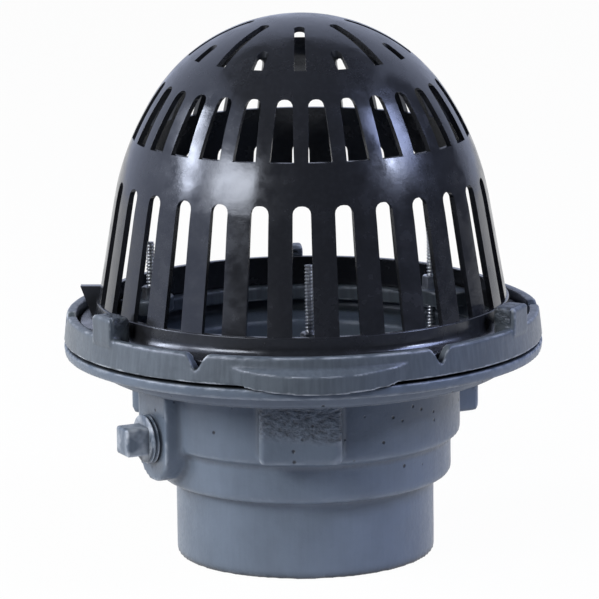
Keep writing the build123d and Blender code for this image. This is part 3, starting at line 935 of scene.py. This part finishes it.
class OBJECT_OT_body_casting(bpy.types.Operator):
    """Build the body casting: outlet, stepped sump, bosses and flange"""

    bl_idname = "roof_drain.body_casting"
    bl_label = "Body Casting"

    def execute(self, context):
        size = context.scene.roof_drain_body
        colours = context.scene.roof_drain_colours
        neck_bore = size.neck_radius - size.wall
        bowl_bore = size.bowl_radius - size.wall
        shell = turned([
            (size.spigot_bore, 0.0, 0.5 * MM),
            (size.spigot_radius, 0.0, 0.5 * MM),
            (size.spigot_radius, size.spigot_top, 2.0 * MM),
            (size.neck_radius, size.spigot_top, 3.2 * MM),
            (size.neck_radius, size.neck_top, 1.6 * MM),
            (size.bowl_radius, size.neck_top, 2.4 * MM),
            (size.bowl_radius, size.dish_underside, 3.0 * MM),
            (size.dish_radius, size.dish_underside, 2.0 * MM),
            (size.dish_radius + 3.0 * MM, size.flange_underside, 2.0 * MM),
            (size.flange_radius - 0.6 * MM, size.flange_underside, 0.5 * MM),
            (size.flange_radius, size.flange_top, 0.4 * MM),
            (size.dish_radius - 1.5 * MM, size.flange_top, 0.5 * MM),
            (size.dish_radius - 1.5 * MM, size.flange_underside, 1.2 * MM),
            (bowl_bore, size.flange_underside, 1.0 * MM),
            (bowl_bore, size.neck_top + size.wall, 3.0 * MM),
            (neck_bore, size.neck_top, 3.0 * MM),
            (neck_bore, size.spigot_top + size.wall, 3.0 * MM),
            (size.spigot_bore, size.spigot_top - 2.4 * MM, 3.0 * MM),
        ], CASTING_STEPS)
        inside_dish = size.dish_underside + 3.0 * MM
        half = size.boss_width / 2.0
        boss = block((-half, -size.boss_face, size.boss_bottom), (half, -bowl_bore - 2.0 * MM, inside_dish))
        rounded(boss, reach=2.4 * MM, segments=4)
        bosses = around(boss, evenly(FOLD, size.boss_turn))
        side = size.tapping_half_width
        inside_neck = -neck_bore - 1.0 * MM
        tapping = block((-side, -size.tapping_face, size.tapping_foot), (side, inside_neck, inside_dish))

        def lower_corner(edge):
            return all(vert.co.z < size.tapping_height for vert in edge.verts) and (
                abs(edge.verts[0].co.y - edge.verts[1].co.y) > side / 2.0
            )

        rounded(tapping, reach=side * 0.95, segments=12, chosen=lower_corner)
        tapping = around(tapping, [size.tapping_turn])
        body = cast(joined(shell, bosses, tapping), BODY_VOXEL, rounds=2)
        roughen(body, depth=0.16 * MM, size=9.0 * MM)
        mark_bends(body)
        boss_faces = {
            "bare": size.boss_face - 2.8 * MM, "deep": size.boss_face - 1.3 * MM,
            "low": size.boss_bottom + 8.5 * MM, "high": size.dish_underside,
        }
        paint = painted_cast_iron(
            "grey_enamel_on_cast_iron_body", colours.body_paint, colours,
            pitted=0.66, wear_and_highlight_most=0.3, streaked=0.1, rough=boss_faces,
        )
        piece("body_casting", body, "drain", "body_paint", paint, "drain_body")
        return {"FINISHED"}


class OBJECT_OT_pipe_plug(bpy.types.Operator):
    """Build the square-head plug in the side tapping"""

    bl_idname = "roof_drain.pipe_plug"
    bl_label = "Pipe Plug"

    def execute(self, context):
        size = context.scene.roof_drain_body
        colours = context.scene.roof_drain_colours
        head_start = PLUG_BURIED + size.plug_exposed
        root = size.plug_radius - PLUG_THREAD_DEPTH
        thread = threaded(root, size.plug_radius, PLUG_PITCH, head_start, steps=48)
        half = size.plug_head / 2.0
        head = block((-half, -half, head_start - 2.0 * MM), (half, half, head_start + size.plug_head_length))
        rounded(head, reach=1.2 * MM, segments=4)
        plug = placed(
            joined(thread, head),
            Matrix.Translation((0.0, 0.0, size.tapping_face - PLUG_BURIED)),
            Matrix.Rotation(math.pi / 2.0, 4, "X"),
            Matrix.Translation((0.0, 0.0, size.tapping_height)),
            Matrix.Rotation(size.tapping_turn, 4, "Z"),
        )
        mark_bends(plug)
        # Radii and heights of a metre, beyond the drain, leave the plug without wrinkles
        nowhere = {"bare": 1.0, "deep": 1.1, "low": 1.0, "high": 1.1}
        paint = painted_cast_iron(
            "grey_enamel_on_cast_iron_plug", colours.body_paint, colours,
            pitted=0.9, wear_and_highlight_most=0.7, streaked=0.5, rough=nowhere,
        )
        piece("plug", plug, "drain", "body_paint", paint, "pipe_plug")
        return {"FINISHED"}


class OBJECT_OT_clamp_ring(bpy.types.Operator):
    """Build the clamp ring with its gravel guard, pads, lugs and ears"""

    bl_idname = "roof_drain.clamp_ring"
    bl_label = "Clamp Ring"

    def execute(self, context):
        size = context.scene.roof_drain_ring
        body = context.scene.roof_drain_body
        colours = context.scene.roof_drain_colours
        pads = around(self.pad(size, body), evenly(FOLD, size.turn))

        half = size.lug_width / 2.0
        lug = block((-half, -size.lug_face, size.lug_underside), (half, -size.lug_tip, size.lug_top))
        rounded(lug, reach=1.6 * MM, segments=3, chosen=lambda edge: (
            all(vert.co.z > size.rim_top for vert in edge.verts)
        ))
        lugs = around(lug, evenly(FOLD, size.turn + math.pi / FOLD))

        half = size.ear_width / 2.0
        ear = block((-half, -size.ear_root, size.ear_bottom), (half, -size.ear_tip, size.ear_top))
        tip = -size.ear_tip - 1.0 * MM
        rounded(ear, reach=7.0 * MM, segments=6, chosen=lambda edge: (
            all(vert.co.y > tip for vert in edge.verts)
            and abs(edge.verts[0].co.z - edge.verts[1].co.z) > 1.0 * MM
        ))
        ears = around(ear, evenly(FOLD, size.turn))

        ring = cast(joined(self.rim(size, body), pads, lugs, ears), RING_VOXEL, rounds=1)
        roughen(ring, depth=0.12 * MM, size=7.0 * MM)
        mark_bends(ring)
        lug_ends = {
            "bare": size.rim_radius - 0.6 * MM, "deep": size.rim_radius - 1.6 * MM,
            "low": size.rim_top, "high": size.lug_top + 5.0 * MM,
        }
        paint = painted_cast_iron(
            "grey_enamel_on_cast_iron_ring", colours.ring_paint, colours,
            pitted=0.97, wear_and_highlight_most=0.8, streaked=0.6, rough=lug_ends,
        )
        piece("ring_casting", ring, "drain", "ring_paint", paint, "clamp_ring")
        return {"FINISHED"}

    @staticmethod
    def rim(size, body):
        """Seat and notched rim, with the gap over the flange under its outer part."""
        over_gap = body.flange_top + FLASHING_GAP
        rim = turned([
            (size.bore, body.flange_top, 0.8 * MM),
            (size.rim_inner - 4.0 * MM, body.flange_top, 0.0),
            (size.rim_inner - 3.0 * MM, over_gap, 0.0),
            (size.rim_foot, over_gap, 0.4 * MM),
            (size.rim_radius, size.rim_top, 1.0 * MM),
            (size.rim_inner, size.rim_top, 0.8 * MM),
            (size.rim_inner, size.seat, 0.6 * MM),
            (size.bore, size.seat, 1.0 * MM),
        ], CASTING_STEPS)
        half = size.notch_width / 2.0
        side = [
            (0.3 * MM, size.notch_apex), (half - 0.6 * MM, size.rim_top - 1.4 * MM),
            (half + 0.6 * MM, size.rim_top - 0.4 * MM), (half + 2.0 * MM, size.rim_top + 2.0 * MM),
        ]
        other_side = [(-across, up) for across, up in reversed(side)]
        notch = slab(side + other_side, size.rim_inner - 2.0 * MM, size.pad_reach)
        return carved(rim, around(notch, evenly(NOTCH_COUNT, size.turn + math.pi / NOTCH_COUNT)))

    @staticmethod
    def pad(size, body):
        """Bulged pad at the front, with a sloped top and an arched lower edge outside the flange."""
        deep = size.pad_top - size.pad_bottom
        beyond = 2.0 * MM
        well_beyond = 5.0 * MM
        over_gap = body.flange_top + FLASHING_GAP
        pad = bmesh.new()
        bmesh.ops.create_cone(
            pad, cap_ends=True, segments=160, radius1=size.pad_curve, radius2=size.pad_curve, depth=deep
        )
        placed(pad, Matrix.Translation((0.0, size.pad_curve - size.pad_reach, size.pad_bottom + deep / 2.0)))
        cut_off(pad, (0.0, -size.bore, 0.0), (0.0, 1.0, 0.0))
        inside = size.bore / 2.0
        under_rim = size.rim_radius - 1.5 * MM
        clear_of_flange = body.flange_radius + 0.3 * MM
        relief = turned([
            (inside, size.pad_bottom - well_beyond, 0.0),
            (clear_of_flange, size.pad_bottom - well_beyond, 0.0),
            (clear_of_flange, over_gap, 0.0),
            (under_rim, over_gap, 0.0),
            (under_rim, size.rim_top + well_beyond, 0.0),
            (inside, size.rim_top + well_beyond, 0.0),
        ], CASTING_STEPS)
        fall = (size.pad_top - size.pad_edge) / (size.pad_reach - size.rim_radius)
        slope = turned([
            (size.rim_radius, size.pad_top, 0.0),
            (size.pad_reach + beyond, size.pad_edge - fall * beyond, 0.0),
            (size.pad_reach + beyond, size.pad_top + beyond, 0.0),
            (size.rim_radius, size.pad_top + beyond, 0.0),
        ], CASTING_STEPS)
        wide = 45.0 * MM
        steps = 16
        arch = [wide * step / steps for step in range(-steps, steps + 1)]
        lip = [(across, size.pad_bottom + across * across / size.pad_arch / 2.0) for across in arch]
        lip += [(wide, size.pad_bottom - beyond), (-wide, size.pad_bottom - beyond)]
        return carved(capped(pad), relief, slope, slab(lip, size.bore, size.pad_reach + beyond))


class OBJECT_OT_studs(bpy.types.Operator):
    """Build the threaded studs and plate their nuts"""

    bl_idname = "roof_drain.studs"
    bl_label = "Studs and Nuts"

    def execute(self, context):
        size = context.scene.roof_drain_ring
        plate = zinc_plated_steel("zinc_plated_rolled_steel", context.scene.roof_drain_colours.zinc)
        root = size.stud_radius - STUD_THREAD_DEPTH
        for place in ("front", "left", "right"):
            low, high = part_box("stud_" + place)
            rod = threaded(root, size.stud_radius, size.stud_pitch, high.z - low.z)
            mark_bends(rod)
            centre = (low + high) / 2.0
            placed(rod, Matrix.Translation((centre.x, centre.y, low.z)))
            piece("threaded_stud_" + place, rod, "drain", "zinc_steel", plate, "stud_" + place)
            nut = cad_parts["nut_" + place]
            nut.data.materials.clear()
            nut.data.materials.append(plate)
        return {"FINISHED"}


# Stage

FLOOR_HALF_WIDTH = 4.0
FLOOR_GLOW = 0.97
ROOM_LIGHT = 0.12
WHITE = rgba(linear("#ffffff"))

# Grey cloths that the camera doesn't see: name, lowest corner and highest corner in metres
FLAGS = (
    ("front flag", (-2.6, -2.55, 0.0), (2.6, -2.5, 3.2)),
    ("right flag", (2.6, -2.5, 0.0), (2.65, 2.0, 3.2)),
    ("floor flag", (-1.2, -2.45, 0.004), (1.2, -0.16, 0.006)),
    ("ceiling flag", (-1.6, -2.5, 2.4), (1.6, 1.6, 2.45)),
)

# Lamps: name, place, width and height in metres, lean in degrees, watts and colour
LAMPS = (
    ("left front softbox", (-1.069, -0.997, 0.84), 0.8, 0.46, 0.0, 15.5, "#ffffff"),
    ("left strip", (-1.35, -0.1, 0.87), 0.26, 0.75, 47.0, 15.5, "#f4f7ff"),
    ("right softbox", (1.2, -0.3, 1.05), 0.6, 0.6, 0.0, 15.0, "#cbd6ff"),
    ("right lamp", (1.284, -0.515, 0.883), 0.25, 0.12, 0.0, 2.8, "#f4f7ff"),
)
LAMP_AIM = Vector((0.0, 0.0, 0.13))

CAMERA_PLACE = (-0.0014, -2.0665, 0.5362)
CAMERA_FALL = 11.665
CAMERA_ROLL = -0.724
CAMERA_LENS = 295.2


class OBJECT_OT_stage(bpy.types.Operator):
    """Set the pale floor, the soft studio light and the camera"""

    bl_idname = "roof_drain.stage"
    bl_label = "Stage"

    def execute(self, context):
        scene = context.scene
        scene.view_settings.view_transform = "Standard"
        sheet = bmesh.new()
        bmesh.ops.create_grid(sheet, x_segments=1, y_segments=1, size=FLOOR_HALF_WIDTH)
        floor = linked("studio_floor", mesh_of(sheet, "studio_floor"))
        floor.data.materials.append(self.floor_paper(scene.roof_drain_colours.paper))

        cloth = self.flag_cloth()
        for name, low, high in FLAGS:
            flag = linked(name, mesh_of(block(low, high), name))
            flag.visible_camera = False
            flag.visible_shadow = False
            flag.data.materials.append(cloth)

        self.set_world(scene)
        for name, spot, wide, tall, lean, watts, tint in LAMPS:
            lamp = bpy.data.lights.new(name, "AREA")
            lamp.shape = "RECTANGLE"
            lamp.size = wide
            lamp.size_y = tall
            lamp.energy = watts
            lamp.color = linear(tint)
            facing = (LAMP_AIM - Vector(spot)).to_track_quat("-Z", "Y").to_matrix().to_4x4()
            leaning = Matrix.Rotation(math.radians(lean), 4, "Z")
            linked(name, lamp).matrix_world = Matrix.Translation(spot) @ facing @ leaning

        lens = bpy.data.cameras.new("camera")
        lens.sensor_fit = "HORIZONTAL"
        lens.sensor_width = 36.0
        lens.lens = CAMERA_LENS
        camera = linked("camera", lens)
        tilt = Matrix.Rotation(math.radians(90.0 - CAMERA_FALL), 4, "X")
        roll = Matrix.Rotation(math.radians(CAMERA_ROLL), 4, "Z")
        camera.matrix_world = Matrix.Translation(CAMERA_PLACE) @ tilt @ roll
        scene.camera = camera
        return {"FINISHED"}

    @staticmethod
    def seen_directly(tree):
        """One where a ray comes from the camera, a reflection or a see-through surface."""
        path = add_node(tree, "ShaderNodeLightPath").outputs
        seen = path["Is Camera Ray"]
        for kind in ("Is Glossy Ray", "Is Transmission Ray"):
            seen = add_node(tree, "ShaderNodeMath", {"operation": "ADD", "use_clamp": True}, {
                0: seen, 1: path[kind],
            }).outputs["Value"]
        return seen

    def set_world(self, scene):
        """Dim room light, behind which the camera sees white and reflections see a slightly blue haze."""
        world = bpy.data.worlds.new("white_studio")
        scene.world = world
        world.use_nodes = True
        tree = world.node_tree
        tree.nodes.clear()
        reflected = add_node(tree, "ShaderNodeLightPath").outputs["Is Glossy Ray"]
        sky = add_node(tree, "ShaderNodeBackground", None, {
            "Color": rgba(linear("#e2e7f0")), "Strength": ROOM_LIGHT,
        }).outputs["Background"]
        for share, shade in ((self.seen_directly(tree), WHITE), (reflected, rgba(linear("#dbe4ff")))):
            shown = add_node(tree, "ShaderNodeBackground", None, {"Color": shade, "Strength": 1.0})
            sky = add_node(tree, "ShaderNodeMixShader", None, {
                0: share, 1: sky, 2: shown.outputs["Background"],
            }).outputs["Shader"]
        add_node(tree, "ShaderNodeOutputWorld", None, {"Surface": sky})

    @staticmethod
    def flag_cloth():
        """Matt grey cloth whose reflection keeps the front of the dome dark, as an unlit room would."""
        material, tree, _ = new_material("grey_flag_cloth_matt")
        matt = add_node(tree, "ShaderNodeBsdfDiffuse", None, {"Color": rgba(linear("#8c8e91"))})
        add_node(tree, "ShaderNodeOutputMaterial", None, {"Surface": matt.outputs["BSDF"]})
        return material

    def floor_paper(self, paper):
        """Matt white paper roll that shows nearly pure white and keeps a faint soft shadow."""
        material, tree, _ = new_material("white_paper_roll_matt")
        matt = add_node(tree, "ShaderNodeBsdfDiffuse", None, {"Color": rgba(paper)})
        glow = add_node(tree, "ShaderNodeEmission", None, {"Color": WHITE, "Strength": 1.0})
        share = add_node(tree, "ShaderNodeMath", {"operation": "MULTIPLY"}, {
            0: self.seen_directly(tree), 1: FLOOR_GLOW,
        })
        mixed = add_node(tree, "ShaderNodeMixShader", None, {
            0: share.outputs["Value"], 1: matt.outputs["BSDF"], 2: glow.outputs["Emission"],
        })
        add_node(tree, "ShaderNodeOutputMaterial", None, {"Surface": mixed.outputs["Shader"]})
        return material


OPERATORS = (
    OBJECT_OT_body_casting,
    OBJECT_OT_pipe_plug,
    OBJECT_OT_clamp_ring,
    OBJECT_OT_studs,
    OBJECT_OT_dome_strainer,
    OBJECT_OT_stage,
)


class VIEW3D_PT_roof_drain(bpy.types.Panel):
    """Lists the drain's pieces and the sizes and colours that shape them"""

    bl_idname = "VIEW3D_PT_roof_drain"
    bl_label = "Flat Roof Drain"
    bl_space_type = "VIEW_3D"
    bl_region_type = "UI"
    bl_category = "Roof Drain"

    def draw(self, context):
        for operator in OPERATORS:
            self.layout.operator(operator.bl_idname)
        for group in SETTINGS:
            settings = getattr(context.scene, group)
            for name in settings.__annotations__:
                self.layout.prop(settings, name)


SETTINGS = {
    "roof_drain_body": BodySizes,
    "roof_drain_ring": RingSizes,
    "roof_drain_dome": DomeSizes,
    "roof_drain_colours": DrainColours,
}


def register():
    """Registers the settings, the operators and the panel."""
    for group, kind in SETTINGS.items():
        bpy.utils.register_class(kind)
        setattr(bpy.types.Scene, group, bpy.props.PointerProperty(type=kind))
    for kind in OPERATORS:
        bpy.utils.register_class(kind)
    bpy.utils.register_class(VIEW3D_PT_roof_drain)


def unregister():
    """Takes back everything that register adds."""
    bpy.utils.unregister_class(VIEW3D_PT_roof_drain)
    for kind in reversed(OPERATORS):
        bpy.utils.unregister_class(kind)
    for group, kind in SETTINGS.items():
        delattr(bpy.types.Scene, group)
        bpy.utils.unregister_class(kind)


def main():
    """Builds every piece in order."""
    register()
    bpy.ops.roof_drain.body_casting()
    bpy.ops.roof_drain.pipe_plug()
    bpy.ops.roof_drain.clamp_ring()
    bpy.ops.roof_drain.studs()
    bpy.ops.roof_drain.dome_strainer()
    bpy.ops.roof_drain.stage()


if __name__ == "__main__":
    main()
